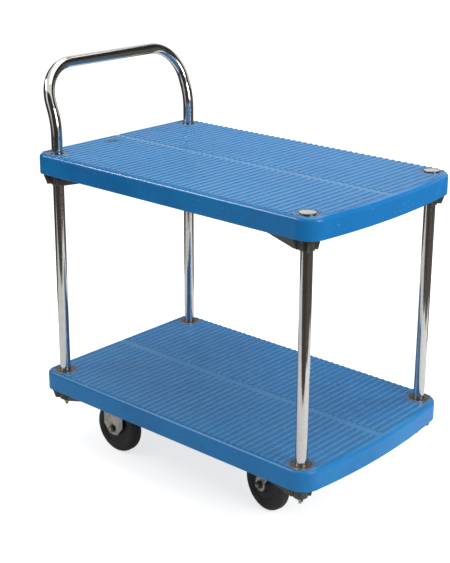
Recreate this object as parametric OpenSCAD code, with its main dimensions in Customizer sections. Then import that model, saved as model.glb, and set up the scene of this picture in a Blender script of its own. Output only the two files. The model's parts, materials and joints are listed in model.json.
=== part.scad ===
// Two-tier storage trolley: two moulded decks on four tubes, two fixed and two swivel castors.
// Millimetres. The origin is on the floor, midway between the four posts. +X runs to the bowed
// front end, -Y is the side nearest the viewer, +Z is up.

/* [Decks] */
// distance between the posts along the trolley
post_span_x = 708; // [690:1:730]
// distance between the posts across the trolley
post_span_y = 428; // [416:1:440]
// height of the lower deck's top above the floor
lower_deck_height = 189.5; // [186:0.5:196]
// lower deck top to upper deck top
deck_spacing = 525; // [450:1:600]
// deck beyond the rear posts
deck_rear_overhang = 38; // [35:0.5:41]
// deck side beyond the posts
deck_side_overhang = 33; // [31:0.5:36]
// middle of the front end beyond the front posts
deck_front_overhang = 54.3; // [52:0.1:57]
// radius of the bowed front end seen from above
bow_radius = 1511.05; // [1400:0.01:1700]
// radius of the front corners seen from above
front_corner_radius = 41.8; // [38:0.1:46]
// radius of the rear corners seen from above
rear_corner_radius = 25; // [22:1:30]
// radius of the rounded upper edge
deck_edge_radius = 9; // [7:0.5:11]
// depth of the deck's skirt
skirt_depth = 46; // [44:0.5:47]
// thickness of the moulded walls
deck_wall = 4.5; // [3.5:0.5:5]

/* [Deck ribs] */
// spacing of the grip ribs across the deck
rib_pitch = 16.3; // [14:0.1:20]
// width of a grip rib at its foot
rib_width = 7; // [5:0.5:8]
// height of the grip ribs
rib_height = 1.2; // [0.8:0.1:1.6]
// width of the plain strip along the middle
strip_width = 16; // [10:1:24]
// plain border between the deck's sides and the ribs
rib_border = 6.5; // [6:0.5:12]
// plain border between the bowed end and the ribs
rib_front_border = 12; // [10:0.5:16]
// middle of the first rib from the rear end
rib_start = 10.85; // [10.5:0.05:16]
// thickness of the stiffening ribs underneath
under_rib = 3.5; // [2.5:0.5:4]
// depth of the stiffening ribs below the deck top
under_rib_depth = 32.5; // [30:0.5:34]

/* [Tubes] */
// outside diameter of the tubes
tube_d = 25; // [24:0.5:26]
// wall of the tubes
tube_wall = 1.5; // [1:0.1:2]
// height of the handle bar's centre above the upper deck
handle_rise = 189; // [175:1:220]
// where the handle legs start to bend back above the upper deck
handle_bend_start = 38; // [30:1:45]
// backward lean of the handle
handle_lean = 20.5; // [15:0.5:22]
// bend radius at the foot of the handle
handle_bend_radius = 170; // [140:5:180]
// bend radius of the handle corners
handle_corner_radius = 84; // [60:1:86]
// diameter of the domed caps on the front posts
cap_d = 33; // [30:0.5:34]
// height of the domed caps
cap_height = 4; // [3:0.5:6]
// outside diameter of the rings round the posts
ring_d = 45; // [42:0.5:46]
// play between the tubes and their seats on each side
tube_play = 0.2; // [0.15:0.05:0.3]

/* [Corner brackets] */
// lowest point of a bracket below the deck top
bracket_depth = 72; // [70:0.5:80]
// outside diameter of the bracket barrel
barrel_d = 31; // [30:0.5:34]
// reach of the bracket fins at the top
fin_reach = 27.5; // [24:0.5:29]
// reach of the bracket fins at the bottom
fin_foot = 21.5; // [18:0.5:23]
// reach of the outer corner fin at the top
outer_fin_reach = 34; // [30:0.5:36]
// reach of the outer corner fin at the bottom
outer_fin_foot = 25; // [22:0.5:27]
// thickness of the fins
fin_thick = 5; // [4:0.5:6]
// length of the bracket arm
arm_length = 105; // [85:1:110]
// width of the bracket arm
arm_width = 28; // [24:0.5:32]
// wall of the bracket arm
arm_wall = 4; // [3:0.5:5]
// reach of the foot studs below the brackets
stud_reach = 16.5; // [12:0.5:20]

/* [Wheels and castors] */
// wheel diameter
wheel_d = 125; // [118:0.5:125.5]
// wheel width
wheel_w = 32; // [28:0.5:34]
// diameter of the wheel core
core_d = 92; // [84:1:98]
// radius of the tyre shoulders
tyre_shoulder = 12; // [8:0.5:13]
// rear castors behind the middle of the posts
rear_castor_x = 233; // [226:1:240]
// rear castors from the middle line
rear_castor_y = 156; // [150:1:160]
// front swivel axes ahead of the middle of the posts
front_castor_x = 240; // [234:1:244]
// front swivel axes from the middle line
front_castor_y = 141; // [136:1:144]
// trail of the swivel castors
swivel_trail = 38; // [34:0.5:40]
// angle at which the front castors stand
swivel_rest = -12; // [-20:1:20]
// thickness of the castor steel
castor_steel = 3; // [2.5:0.1:3.5]
// width of a rear fork leg
rear_leg_w = 61; // [54:0.5:66]
// width of a front fork leg at the axle
front_leg_w = 31; // [30:0.5:38]
// diameter of the axle sleeve the wheels turn on
axle_d = 12; // [11:0.5:13]
// running clearance of the wheels and swivels on each side
run_fit = 0.08; // [0.05:0.01:0.1]
// castor plate length
plate_l = 100; // [98:1:110]
// castor plate width
plate_w = 80; // [78:1:88]

/* [Hidden] */
$fn = 96;
eps = 0.01;
px = post_span_x / 2;
py = post_span_y / 2;
z1 = lower_deck_height;
z2 = lower_deck_height + deck_spacing;
half_w = py + deck_side_overhang;
rear_x = -px - deck_rear_overhang;
apex_x = px + deck_front_overhang;
bow_cx = apex_x - bow_radius;
corner_y = half_w - front_corner_radius;
rear_corner_x = rear_x + rear_corner_radius;
rear_corner_y = half_w - rear_corner_radius;
// centres of the front corner arcs, which run smoothly into the bow
bow_reach = bow_radius - front_corner_radius;
front_dx = round(100 * sqrt(bow_reach * bow_reach - corner_y * corner_y)) / 100;
front_cx = bow_cx + front_dx;
turn_x = front_cx + front_dx / 10;
turn_y = corner_y + corner_y / 10;
tube_bore = tube_d - 2 * tube_wall;
seat_d = tube_d + 2 * tube_play;
boss_depth = 40;
bracket_floor = 4;
tube_foot = bracket_depth - bracket_floor;
plate_top = z1 - under_rib_depth;
axle_z = wheel_d / 2;
hub_w = wheel_w + 4;
fork_gap = hub_w + 2.4;
fork_out = fork_gap + 2 * castor_steel;
crown_top = plate_top - castor_steel - 9.1;
pin_d = 12;
ball_d = 6;
hole_x = plate_l / 2 - 10;
hole_y = plate_w / 2 - 10;
rib_room = apex_x - rib_front_border - rear_x - rib_start - rib_width;
rib_n = floor(rib_room / rib_pitch);
lean_bottom = handle_bend_start + handle_bend_radius * sin(handle_lean);
lean_run = (handle_rise - lean_bottom) / cos(handle_lean);
lean_back = handle_bend_radius * (1 - cos(handle_lean));

deck_blue = [0.11, 0.4, 0.68];
bracket_grey = [0.2, 0.21, 0.19];
chrome = [0.78, 0.79, 0.8];
rust = [0.42, 0.3, 0.22];
zinc = [0.6, 0.59, 0.55];
rubber = [0.06, 0.06, 0.06];
core_black = [0.1, 0.11, 0.12];
steel = [0.5, 0.5, 0.5];

// plans of the decks: the part ahead of the front corners, and one front corner
module front_plan() {
  polygon([[front_cx - 20, -corner_y], [front_cx, -corner_y], [turn_x, -turn_y], [turn_x, turn_y],
    [front_cx, corner_y], [front_cx - 20, corner_y]]);
}

module corner_plan() {
  polygon([[front_cx, corner_y], [turn_x, turn_y], [turn_x, corner_y + 60],
    [front_cx, corner_y + 60]]);
}

// plan of the deck, moved in by inset on every side
module deck_plan(inset) {
  rr = rear_corner_radius;
  hw = half_w - inset;
  translate([rear_corner_x, -hw]) square([front_cx - rear_corner_x, 2 * hw]);
  translate([rear_x + inset, -rear_corner_y]) square([rr, 2 * rear_corner_y]);
  for (s = [-1, 1]) {
    translate([rear_corner_x, s * rear_corner_y]) circle(r = rr - inset);
    translate([front_cx, s * corner_y]) circle(r = front_corner_radius - inset);
  }
  intersection() {
    translate([bow_cx, 0]) circle(r = bow_radius - inset, $fn = 720);
    front_plan();
  }
}

// half section of the moulding out to its edge: rounded above, eased below
module edge_section(reach) {
  r = deck_edge_radius;
  translate([0, -skirt_depth + 1.5]) square([reach, skirt_depth - r - 1.5]);
  translate([0, -r - 1]) square([reach - r, r + 1]);
  translate([0, -skirt_depth]) square([reach - 1.5, 4]);
  translate([reach - r, -r]) circle(r = r);
  translate([reach - 1.5, -skirt_depth + 1.5]) circle(r = 1.5);
}

// the deck as a full block: straight sides and rear, rounded corners, bowed front
module deck_block() {
  rr = rear_corner_radius;
  for (s = [0, 1]) mirror([0, s, 0]) {
    translate([rear_corner_x, 0, 0]) rotate([90, 0, 90])
      linear_extrude(height = front_cx - rear_corner_x) edge_section(half_w);
    translate([rear_corner_x, rear_corner_y, 0]) rotate([0, 0, 90])
      rotate_extrude(angle = 90) edge_section(rr);
    intersection() {
      translate([front_cx, corner_y, 0]) rotate_extrude() edge_section(front_corner_radius);
      translate([0, 0, -skirt_depth - 1]) linear_extrude(height = skirt_depth + 2)
        corner_plan();
    }
  }
  translate([rear_corner_x, rear_corner_y, 0]) rotate([90, 0, 0]) mirror([1, 0, 0])
    linear_extrude(height = 2 * rear_corner_y) edge_section(rr);
  intersection() {
    translate([bow_cx, 0, 0]) rotate_extrude($fn = 720) edge_section(bow_radius);
    translate([0, 0, -skirt_depth - 1]) linear_extrude(height = skirt_depth + 2) front_plan();
  }
}

// room under the deck top: narrow inside the bead at the foot, wide above it
module deck_hollow() {
  r = deck_edge_radius;
  bead = 8;
  translate([0, 0, -skirt_depth - 1]) linear_extrude(height = bead + 1.5)
    deck_plan(deck_wall + 2.5);
  translate([0, 0, -skirt_depth + bead]) linear_extrude(height = skirt_depth - bead - r)
    deck_plan(deck_wall);
  translate([0, 0, -r - 1]) linear_extrude(height = r + 1 - deck_wall)
    deck_plan(deck_wall + 4);
}

// the grip ribs, as a comb drawn in the XZ plane and run across one half
module rib_comb() {
  x0 = rear_x + rib_start;
  run = half_w - strip_width / 2;
  translate([0, half_w, 0]) rotate([90, 0, 0]) linear_extrude(height = run)
    for (i = [0:rib_n])
      translate([x0 + i * rib_pitch, -1])
        polygon([[-rib_width / 2 - 0.5, 0], [rib_width / 2 + 0.5, 0],
          [rib_width / 2 - 0.8, 1 + rib_height], [-rib_width / 2 + 0.8, 1 + rib_height]]);
}

module grip_ribs() {
  difference() {
    intersection() {
      translate([0, 0, -1]) linear_extrude(height = 1 + rib_height) intersection() {
        deck_plan(rib_border);
        translate([bow_cx, 0]) circle(r = bow_radius - rib_front_border, $fn = 720);
      }
      union() {
        rib_comb();
        mirror([0, 1, 0]) rib_comb();
      }
    }
    for (sx = [-1, 1], sy = [-1, 1])
      translate([sx * px, sy * py, -2]) cylinder(d = ring_d + 8, h = 6);
  }
}

module at_corners() {
  for (sx = [0, 1], sy = [0, 1]) mirror([sx, 0, 0]) mirror([0, sy, 0])
    translate([-px, -py, 0]) children();
}

// castor places: rear pair and front pair
module at_castors() {
  for (sy = [-1, 1]) {
    translate([-rear_castor_x, sy * rear_castor_y, 0]) children();
    translate([front_castor_x, sy * front_castor_y, 0]) children();
  }
}

screw_at = [[0, 27], [46, 25], [arm_length + 10, 0]];

module under_ribs() {
  d = under_rib_depth - 3;
  t = under_rib;
  intersection() {
    translate([0, 0, -under_rib_depth]) linear_extrude(height = under_rib_depth - 3)
      deck_plan(deck_wall - 1);
    union() {
      for (y = [-186, -106, -52, 0, 52, 106, 186])
        translate([-420, y * half_w / 247 - t / 2, -under_rib_depth]) cube([860, t, d]);
      for (x = [-318, -175, -105, -35, 35, 105, 175, 318])
        translate([x * px / 354 - t / 2, -260, -under_rib_depth]) cube([t, 520, d]);
    }
  }
}

// rectangle of ribs and four screw bosses that a castor plate stands on
module castor_pad() {
  t = under_rib;
  l = plate_l - 2;
  w = plate_w - 2;
  translate([0, 0, -under_rib_depth]) {
    difference() {
      translate([-l / 2, -w / 2, 0]) cube([l, w, under_rib_depth - 2]);
      translate([-l / 2 + t, -w / 2 + t, -1]) cube([l - 2 * t, w - 2 * t, under_rib_depth]);
    }
    translate([-l / 2, -t / 2, 0]) cube([l, t, under_rib_depth - 2]);
    for (sx = [-1, 1], sy = [-1, 1])
      translate([sx * hole_x, sy * hole_y, 0]) cylinder(d = 17, h = under_rib_depth - 2);
  }
}

module deck() {
  difference() {
    union() {
      difference() {
        deck_block();
        deck_hollow();
      }
      grip_ribs();
      difference() {
        under_ribs();
        at_castors() translate([-plate_l / 2 + 2, -plate_w / 2 + 2, -under_rib_depth - 1])
          cube([plate_l - 4, plate_w - 4, under_rib_depth - 2]);
        at_corners() translate([0, 0, -under_rib_depth - 1])
          cylinder(d = 40, h = under_rib_depth - 2);
      }
      at_castors() castor_pad();
      at_corners() {
        translate([0, 0, -boss_depth]) cylinder(d = 50, h = boss_depth - 2);
        for (p = screw_at)
          translate([p[0], p[1], -boss_depth]) cylinder(d = 13, h = boss_depth - 2);
        translate([20, -12 - under_rib / 2, -boss_depth])
          cube([arm_length - 20, under_rib, boss_depth - 2]);
      }
    }
    at_corners() {
      translate([0, 0, -boss_depth - 1]) cylinder(d = seat_d + 0.6, h = boss_depth + 5);
      translate([0, 0, -14]) cylinder(d = seat_d + 6, h = 20);
      translate([0, 0, -2]) cylinder(d = ring_d + 1, h = 6);
      for (p = screw_at)
        translate([p[0], p[1], -boss_depth - 1]) cylinder(d = 5, h = 22);
    }
    at_castors() for (sx = [-1, 1], sy = [-1, 1])
      translate([sx * hole_x, sy * hole_y, -under_rib_depth - 1]) cylinder(d = 8.3, h = 25);
  }
}

// tubes, caps and rings
module tube_section() {
  difference() {
    circle(d = tube_d);
    circle(d = tube_bore);
  }
}

// leg and bend on one side
module handle_leg() {
  rb = handle_bend_radius;
  translate([-px, -py, z1 - tube_foot])
    linear_extrude(height = deck_spacing + tube_foot + handle_bend_start) tube_section();
  translate([-px - rb, -py, z2 + handle_bend_start]) rotate([90, 0, 0])
    rotate_extrude(angle = handle_lean - 0.06) translate([rb, 0]) tube_section();
}

// slightly thicker sleeve where two lengths of the bent tube run into each other
module tube_band() {
  translate([0, 0, -1]) linear_extrude(height = 2) difference() {
    circle(d = tube_d + 0.06);
    circle(d = tube_bore - 0.06);
  }
}

// straight part, corner and half the bar on one side, standing in the leaning plane
module handle_half() {
  rc = handle_corner_radius;
  translate([0, -py, 0]) {
    linear_extrude(height = lean_run - rc) tube_section();
    tube_band();
    translate([0, rc, lean_run - rc]) rotate([0, -90, 0]) rotate([0, 0, -90])
      rotate_extrude(angle = 90) translate([rc, 0]) tube_section();
    translate([0, rc, lean_run]) rotate([-90, 0, 0])
      linear_extrude(height = py - rc - 0.05) tube_section();
  }
}

module handle_tube() {
  color(chrome) {
    handle_leg();
    mirror([0, 1, 0]) handle_leg();
    translate([-px - lean_back, 0, z2 + lean_bottom]) rotate([0, -handle_lean, 0]) {
      handle_half();
      mirror([0, 1, 0]) handle_half();
      translate([0, 0, lean_run]) rotate([-90, 0, 0]) tube_band();
    }
  }
}

module post_front(s) {
  color(chrome) translate([px, s * py, z1 - tube_foot]) difference() {
    cylinder(d = tube_d, h = deck_spacing + tube_foot + 1);
    translate([0, 0, -1]) cylinder(d = tube_bore, h = deck_spacing + tube_foot + 3);
  }
}

module cap_front(s) {
  dome_r = (cap_d * cap_d / 4 + 4) / 4;
  color(chrome) translate([px, s * py, z2 + 1]) {
    cylinder(d = cap_d, h = cap_height - 2);
    intersection() {
      translate([0, 0, cap_height - dome_r]) sphere(r = dome_r);
      translate([0, 0, cap_height - 2 - eps]) cylinder(d = cap_d, h = 3);
    }
    translate([0, 0, -14]) difference() {
      cylinder(d = tube_bore, h = 14 + eps);
      translate([0, 0, -1]) cylinder(d = tube_bore - 4, h = 13);
    }
  }
}

// flanged ring let into the deck top round a post
module post_ring() {
  translate([0, 0, -2]) difference() {
    union() {
      cylinder(d = ring_d, h = 1.5);
      translate([0, 0, -10]) cylinder(d = seat_d + 5.4, h = 10 + eps);
      cylinder(d = seat_d + 5.4, h = 2.6);
    }
    translate([0, 0, -11]) cylinder(d = seat_d, h = 15);
  }
}

module rings(z) {
  color(rust) translate([0, 0, z]) at_corners() post_ring();
}

// corner brackets and their screws
module fin(reach, foot) {
  rotate([90, 0, 0]) translate([0, 0, -fin_thick / 2]) linear_extrude(height = fin_thick)
    polygon([[0, -44], [reach, -44], [foot, -bracket_depth + 1], [0, -bracket_depth + 1]]);
}

module bracket_arm() {
  w = arm_width;
  foot = -bracket_depth + 1;
  for (y = [-w / 2, w / 2 - arm_wall])
    translate([0, y + arm_wall, 0]) rotate([90, 0, 0]) linear_extrude(height = arm_wall)
      polygon([[8, -42], [arm_length, -42], [arm_length, -48], [22, foot], [8, foot]]);
  translate([0, w / 2, 0]) rotate([90, 0, 0]) linear_extrude(height = w)
    polygon([[8, foot], [22, foot], [arm_length, -48], [arm_length, -43],
      [22, foot + arm_wall], [8, foot + arm_wall]]);
}

// plan of the bracket flange, which fits inside the deck corner
module flange_plan() {
  translate([11, 15]) circle(r = 33);
  translate([11, -18]) square([49, 51]);
  translate([-22, 15]) square([40, 18]);
  translate([50, -16]) square([arm_length - 45, 32]);
  translate([arm_length - 10, -9]) square([20, 18]);
  translate([arm_length + 10, 0]) circle(r = 9);
}

// open: the tube passes right through; otherwise it stands on the bracket floor
module bracket_shape(open) {
  difference() {
    union() {
      translate([0, 0, -44]) linear_extrude(height = 44 - boss_depth) flange_plan();
      translate([0, 0, -bracket_depth])
        cylinder(d1 = barrel_d, d2 = barrel_d + 3, h = bracket_depth - 42);
      for (a = [45, 135, 315]) rotate([0, 0, a]) fin(fin_reach, fin_foot);
      rotate([0, 0, 225]) fin(outer_fin_reach, outer_fin_foot);
      bracket_arm();
      translate([0, 0, -60]) rotate([-90, 0, 0]) cylinder(d = 12, h = barrel_d / 2 + 4);
    }
    translate([0, 0, open ? -bracket_depth - 1 : -tube_foot])
      cylinder(d = seat_d, h = bracket_depth);
    translate([0, 0, -bracket_depth - 1]) cylinder(d = 8.6, h = 10);
    for (p = screw_at) translate([p[0], p[1], -46]) cylinder(d = 5.4, h = 8);
    translate([0, 0, -60]) rotate([-90, 0, 0]) cylinder(d = 6.2, h = 30);
    // room for the deck's skirt round the corner
    translate([0, 0, -46.5]) linear_extrude(height = 8) difference() {
      translate([-60, -60]) square([71, 75]);
      translate([11, 15]) circle(r = 33.6);
    }
  }
}

module bracket(sx, sy, z, open) {
  color(bracket_grey) translate([0, 0, z]) mirror([sx, 0, 0]) mirror([0, sy, 0])
    translate([-px, -py, 0]) bracket_shape(open);
}

module bracket_screw() {
  translate([0, 0, -47]) {
    difference() {
      cylinder(d = 9, h = 3);
      translate([-0.6, -3.5, -1]) cube([1.2, 7, 2]);
      translate([-3.5, -0.6, -1]) cube([7, 1.2, 2]);
    }
    cylinder(d = 4.8, h = 26);
  }
}

module bracket_screws() {
  color(steel) for (z = [z1, z2]) translate([0, 0, z]) at_corners()
    for (p = screw_at) translate([p[0], p[1], 0]) bracket_screw();
}

module clamp_screws() {
  color(steel) for (z = [z1, z2]) translate([0, 0, z]) at_corners()
    translate([0, tube_d / 2, -60]) rotate([-90, 0, 0]) difference() {
      cylinder(d = 6, h = 9);
      translate([0, 0, 6]) cylinder(d = 3.4, h = 4, $fn = 6);
    }
}

module tube_plugs() {
  color(steel) translate([0, 0, z1 - tube_foot]) at_corners() difference() {
    cylinder(d = tube_bore, h = 24);
    translate([0, 0, -1]) cylinder(d = 8, h = 22);
  }
}

module foot_studs() {
  color(zinc) translate([0, 0, z1 - bracket_depth]) at_corners() {
    translate([0, 0, 1.5 - stud_reach]) cylinder(d = 8, h = stud_reach + bracket_floor + 18.5);
    translate([0, 0, -stud_reach]) cylinder(d1 = 5.4, d2 = 8, h = 1.5);
  }
}

module foot_washers() {
  color(zinc) translate([0, 0, z1 - bracket_depth - 1.6]) at_corners() difference() {
    cylinder(d = 16, h = 1.6);
    translate([0, 0, -1]) cylinder(d = 8.4, h = 4);
  }
}

module hex_nut(flats, bore, h) {
  difference() {
    intersection() {
      cylinder(d = flats / cos(30), h = h, $fn = 6);
      cylinder(d1 = flats * 1.02, d2 = flats * 1.02 + 2 * h, h = h);
    }
    translate([0, 0, -1]) cylinder(d = bore, h = h + 2);
  }
}

module foot_nuts() {
  color(zinc) translate([0, 0, z1 - bracket_depth - 8.1]) at_corners() hex_nut(13, 8.05, 6.5);
}

// castors and wheels
module castor_screw() {
  translate([0, 0, plate_top - castor_steel]) {
    translate([0, 0, -5.3]) intersection() {
      cylinder(d = 13 / cos(30), h = 5.3, $fn = 6);
      cylinder(d1 = 13, d2 = 24, h = 5.3);
    }
    cylinder(d = 8, h = castor_steel + 20);
  }
}

module castor_screws() {
  color(zinc) at_castors() for (sx = [-1, 1], sy = [-1, 1])
    translate([sx * hole_x, sy * hole_y, 0]) castor_screw();
}

// bent sheet section across a fork: x across, y height
module fork_section(top, bottom) {
  t = castor_steel;
  r = 5;
  difference() {
    union() {
      translate([-fork_out / 2, bottom]) square([fork_out, top - bottom - r]);
      translate([-fork_out / 2 + r, bottom]) square([fork_out - 2 * r, top - bottom]);
      for (s = [-1, 1]) translate([s * (fork_out / 2 - r), top - r]) circle(r = r);
    }
    translate([-fork_gap / 2, bottom - 1]) square([fork_gap, top - bottom - r + 1]);
    translate([-fork_gap / 2 + r - t, bottom - 1]) square([fork_gap - 2 * (r - t), top - bottom - t + 1]);
    for (s = [-1, 1]) translate([s * (fork_gap / 2 - r + t), top - r]) circle(r = r - t);
  }
}

module mount_plate() {
  rc = 8;
  difference() {
    translate([0, 0, plate_top - castor_steel]) linear_extrude(height = castor_steel) union() {
      translate([-plate_l / 2 + rc, -plate_w / 2]) square([plate_l - 2 * rc, plate_w]);
      translate([-plate_l / 2, -plate_w / 2 + rc]) square([plate_l, plate_w - 2 * rc]);
      for (sx = [-1, 1], sy = [-1, 1])
        translate([sx * (plate_l / 2 - rc), sy * (plate_w / 2 - rc)]) circle(r = rc);
    }
    for (sx = [-1, 1], sy = [-1, 1])
      translate([sx * hole_x, sy * hole_y, plate_top - castor_steel - 1])
        cylinder(d = 8.8, h = castor_steel + 2);
  }
}

module rear_fork(s) {
  w = rear_leg_w / 2;
  top = plate_top - castor_steel - axle_z;
  color(zinc) translate([-rear_castor_x, s * rear_castor_y, 0]) difference() {
    union() {
      mount_plate();
      translate([0, 0, axle_z]) intersection() {
        translate([-50, 0, 0]) rotate([90, 0, 90]) linear_extrude(height = 100)
          fork_section(top + eps, -30);
        translate([0, 50, 0]) rotate([90, 0, 0]) linear_extrude(height = 100) union() {
          polygon([[-w - 4, top + 1], [w + 4, top + 1], [w, top - 26], [w, 8], [13, -15.5],
            [-13, -15.5], [-w, 5], [-w, top - 26]]);
          circle(r = 17.5);
        }
      }
      // pressed ring round the axle
      for (y = [-1, 1]) translate([0, y * (fork_out / 2 - eps), axle_z]) rotate([-90 * y, 0, 0])
        difference() {
          cylinder(d1 = 28, d2 = 25, h = 1.2);
          translate([0, 0, -1]) cylinder(d = 21, h = 4);
        }
    }
    translate([0, 60, axle_z]) rotate([90, 0, 0]) cylinder(d = 8.4, h = 120);
  }
}

// sleeve and bolt a wheel turns on, along Y and centred on the wheel
module axle_shape() {
  rotate([90, 0, 0]) {
    translate([0, 0, -fork_gap / 2]) difference() {
      cylinder(d = axle_d, h = fork_gap);
      translate([0, 0, -1]) cylinder(d = 8, h = fork_gap + 2);
    }
    translate([0, 0, -fork_out / 2 - 5.5]) cylinder(d = 13 / cos(30), h = 5.5, $fn = 6);
    translate([0, 0, -fork_out / 2 - 5.5]) cylinder(d = 8, h = fork_out + 5.5 + 9.5);
    translate([0, 0, fork_out / 2 + 9.5 - eps]) cylinder(d1 = 8, d2 = 6, h = 1);
  }
}

module axle_nut_shape() {
  rotate([90, 0, 0]) {
    translate([0, 0, fork_out / 2]) difference() {
      cylinder(d = 18, h = 1.6);
      translate([0, 0, -1]) cylinder(d = 8.4, h = 4);
    }
    translate([0, 0, fork_out / 2 + 1.6]) rotate([0, 0, 17]) hex_nut(13, 8.05, 6.5);
  }
}

module at_rear(s) {
  translate([-rear_castor_x, s * rear_castor_y, axle_z]) children();
}

module at_front(s) {
  translate([front_castor_x, s * front_castor_y, axle_z]) rotate([0, 0, swivel_rest]) children();
}

module rear_axles() {
  color(steel) for (s = [-1, 1]) at_rear(s) mirror([0, s > 0 ? 1 : 0, 0]) axle_shape();
}

module rear_axle_nuts() {
  color(steel) for (s = [-1, 1]) at_rear(s) mirror([0, s > 0 ? 1 : 0, 0]) axle_nut_shape();
}

module swivel_plate(s) {
  color(zinc) translate([front_castor_x, s * front_castor_y, 0]) difference() {
    union() {
      mount_plate();
      translate([0, 0, plate_top - castor_steel - 6]) cylinder(d1 = 50, d2 = 56, h = 6 + eps);
    }
    translate([0, 0, plate_top - castor_steel - 6]) rotate_extrude()
      translate([20, 0]) circle(d = ball_d + 0.4);
    translate([0, 0, plate_top - 20]) cylinder(d = pin_d, h = 21);
    translate([0, 0, plate_top - 2]) cylinder(d = 20, h = 3);
  }
}

module kingpins() {
  color(steel) for (s = [-1, 1]) translate([front_castor_x, s * front_castor_y, 0]) {
    translate([0, 0, plate_top - 2]) cylinder(d = 20, h = 1.8);
    translate([0, 0, crown_top - castor_steel - 6])
      cylinder(d = pin_d, h = plate_top - crown_top + castor_steel + 5);
    translate([0, 0, crown_top - castor_steel - 4.4]) cylinder(d = 26, h = 4);
    translate([0, 0, crown_top - castor_steel - 8.4]) cylinder(d1 = 15, d2 = 19, h = 4 + eps);
  }
}

module swivel_balls() {
  color(steel) for (s = [-1, 1])
    translate([front_castor_x, s * front_castor_y, crown_top + 0.3 + ball_d / 2])
      for (i = [0:15]) rotate([0, 0, i * 22.5]) translate([20, 0, 0]) sphere(d = ball_d);
}

module front_fork(s) {
  t = swivel_trail;
  w = front_leg_w / 2;
  top = crown_top - axle_z;
  color(zinc) at_front(s) difference() {
    union() {
      intersection() {
        translate([-60, 0, 0]) rotate([90, 0, 90]) linear_extrude(height = 110)
          fork_section(top, -30);
        translate([0, 50, 0]) rotate([90, 0, 0]) linear_extrude(height = 100) union() {
          polygon([[-26, top + 1], [27, top + 1], [27, top - 8], [w - t + 11, 24], [w - t - 1, 6],
            [-t - w + 2, 8], [-t - w + 11, 26], [-26, top - 8]]);
          translate([-t, 0]) circle(r = w);
        }
      }
      translate([0, 0, top - castor_steel]) difference() {
        cylinder(d = 64, h = castor_steel + 7);
        translate([0, 0, castor_steel]) cylinder(d = 59, h = 9);
      }
    }
    translate([0, 0, top - castor_steel - 1]) cylinder(d = pin_d + 2 * run_fit, h = 12);
    translate([-t, 60, 0]) rotate([90, 0, 0]) cylinder(d = 8.4, h = 120);
  }
}

module front_axle(s) {
  color(steel) at_front(s) translate([-swivel_trail, 0, 0]) mirror([0, s > 0 ? 1 : 0, 0]) axle_shape();
}

module front_axle_nuts(s) {
  color(steel) at_front(s) translate([-swivel_trail, 0, 0]) mirror([0, s > 0 ? 1 : 0, 0]) axle_nut_shape();
}

module tyre() {
  rs = tyre_shoulder;
  ro = wheel_d / 2;
  rw = wheel_w / 2;
  color(rubber) rotate([90, 0, 0]) rotate_extrude() {
    difference() {
      union() {
        translate([core_d / 2, -rw]) square([ro - rs - core_d / 2, wheel_w]);
        translate([ro - rs - eps, -rw + rs]) square([rs + eps, wheel_w - 2 * rs]);
        for (s = [-1, 1]) translate([ro - rs, s * (rw - rs)]) circle(r = rs);
      }
      for (s = [-1, 1]) translate([core_d / 2 + 5, s * (rw + 1)]) circle(r = 2);
    }
  }
}

module core() {
  rw = wheel_w / 2;
  rc = core_d / 2;
  dish = rw - 5;
  color(core_black) rotate([90, 0, 0]) rotate_extrude() {
    translate([rc - 6, -rw + 2]) square([6, wheel_w - 4]);
    polygon([[10, -hub_w / 2], [17, -hub_w / 2], [21, -dish - 1], [rc - 11, -dish], [rc - 5, -rw + 3],
      [rc - 5, rw - 3], [rc - 11, dish], [21, dish + 1], [17, hub_w / 2], [10, hub_w / 2]]);
  }
}

module bush() {
  color(steel) rotate([90, 0, 0]) difference() {
    translate([0, 0, -hub_w / 2 - 0.6]) cylinder(d = 20, h = hub_w + 1.2);
    translate([0, 0, -hub_w]) cylinder(d = axle_d + 2 * run_fit, h = 2 * hub_w);
  }
}

module front_wheel_at(s) {
  at_front(s) translate([-swivel_trail, 0, 0]) children();
}

color(deck_blue) translate([0, 0, z2]) deck();  // upper_deck
color(deck_blue) translate([0, 0, z1]) deck();  // lower_deck
handle_tube();
post_front(-1);  // post_front_near
post_front(1);  // post_front_far
cap_front(-1);  // cap_front_near
cap_front(1);  // cap_front_far
rings(z2);  // rings_upper
rings(z1);  // rings_lower
bracket(0, 0, z2, true);  // bracket_upper_rear_near
bracket(0, 1, z2, true);  // bracket_upper_rear_far
bracket(1, 0, z2, true);  // bracket_upper_front_near
bracket(1, 1, z2, true);  // bracket_upper_front_far
bracket(0, 0, z1, false);  // bracket_lower_rear_near
bracket(0, 1, z1, false);  // bracket_lower_rear_far
bracket(1, 0, z1, false);  // bracket_lower_front_near
bracket(1, 1, z1, false);  // bracket_lower_front_far
bracket_screws();
clamp_screws();
tube_plugs();
foot_studs();
foot_washers();
foot_nuts();
castor_screws();
rear_fork(-1);  // rear_fork_near
rear_fork(1);  // rear_fork_far
rear_axles();
rear_axle_nuts();
swivel_plate(-1);  // swivel_plate_near
swivel_plate(1);  // swivel_plate_far
kingpins();
swivel_balls();
front_fork(-1);  // front_fork_near
front_fork(1);  // front_fork_far
front_axle(-1);  // front_axle_near
front_axle(1);  // front_axle_far
front_axle_nuts(-1);  // front_axle_nuts_near
front_axle_nuts(1);  // front_axle_nuts_far
at_rear(-1) tyre();  // tyre_rear_near
at_rear(-1) core();  // core_rear_near
at_rear(-1) bush();  // bush_rear_near
at_rear(1) tyre();  // tyre_rear_far
at_rear(1) core();  // core_rear_far
at_rear(1) bush();  // bush_rear_far
front_wheel_at(-1) tyre();  // tyre_front_near
front_wheel_at(-1) core();  // core_front_near
front_wheel_at(-1) bush();  // bush_front_near
front_wheel_at(1) tyre();  // tyre_front_far
front_wheel_at(1) core();  // core_front_far
front_wheel_at(1) bush();  // bush_front_far
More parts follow.
